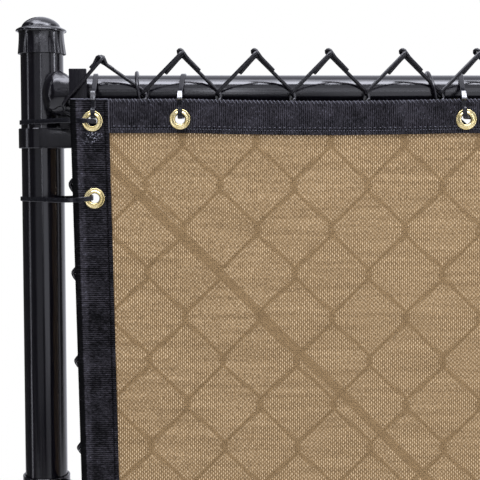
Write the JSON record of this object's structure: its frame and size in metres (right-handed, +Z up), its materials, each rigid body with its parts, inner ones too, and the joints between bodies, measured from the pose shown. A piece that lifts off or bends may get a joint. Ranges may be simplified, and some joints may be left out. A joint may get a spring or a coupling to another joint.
{
  "type": "privacy fence screen on a bay of chain-link fence",
  "caption": "Tan knitted mesh screen with a black webbing border and brass grommets, laced with plastic ties to a black chain-link fence bay of posts, rail and netting.",
  "frame": {"origin": "on the ground, midway between the two posts' axes along the fence, at the middle of the whole from front to back", "axes": "+Z up along the posts, +X along the fence to the right as seen from the screen's side, -Y towards the viewer: the screen hangs on the fence's -Y side"},
  "size_m": [0.8502, 0.0988, 1.0463],
  "materials": {
    "vinyl": "thin glossy black coating on steel, faint streaks along the pipes",
    "webbing": "black woven webbing with fine cross ribs",
    "knit": "tan knitted plastic mesh, slightly see-through",
    "brass": "bright rolled brass",
    "nylon": "black moulded plastic, satin"
  },
  "bodies": {
    "root": {"post_left": "vinyl", "cap_left": "vinyl", "rail_end_left": "vinyl", "tension_bar_left": "vinyl", "post_right": "vinyl", "cap_right": "vinyl", "rail_end_right": "vinyl", "tension_bar_right": "vinyl", "top_rail": "vinyl", "chain_link": "vinyl", "truss_rod": "vinyl", "tension_wire": "vinyl", "band_left_1": "vinyl", "band_left_2": "vinyl", "band_left_3": "vinyl", "band_left_4": "vinyl", "band_right_1": "vinyl", "band_right_2": "vinyl", "band_right_3": "vinyl", "band_right_4": "vinyl", "screen_cloth": "knit", "binding_left": "webbing", "binding_right": "webbing", "binding_top": "webbing", "binding_bottom": "webbing", "grommet_top_1": "brass", "grommet_top_2": "brass", "grommet_top_3": "brass", "grommet_top_4": "brass", "grommet_top_5": "brass", "grommet_bottom_1": "brass", "grommet_bottom_2": "brass", "grommet_bottom_3": "brass", "grommet_bottom_4": "brass", "grommet_bottom_5": "brass", "grommet_left_1": "brass", "grommet_left_2": "brass", "grommet_left_3": "brass", "grommet_right_1": "brass", "grommet_right_2": "brass", "grommet_right_3": "brass", "tie_top_1": "nylon", "tie_top_2": "nylon", "tie_top_3": "nylon", "tie_top_4": "nylon", "tie_top_5": "nylon", "tie_bottom_1": "nylon", "tie_bottom_2": "nylon", "tie_bottom_3": "nylon", "tie_left_1": "nylon", "tie_left_2": "nylon", "tie_left_3": "nylon", "tie_left_4": "nylon", "tie_left_5": "nylon", "tie_right_1": "nylon", "tie_right_2": "nylon", "tie_right_3": "nylon", "tie_right_4": "nylon", "tie_right_5": "nylon"}
  },
  "joints": []
}
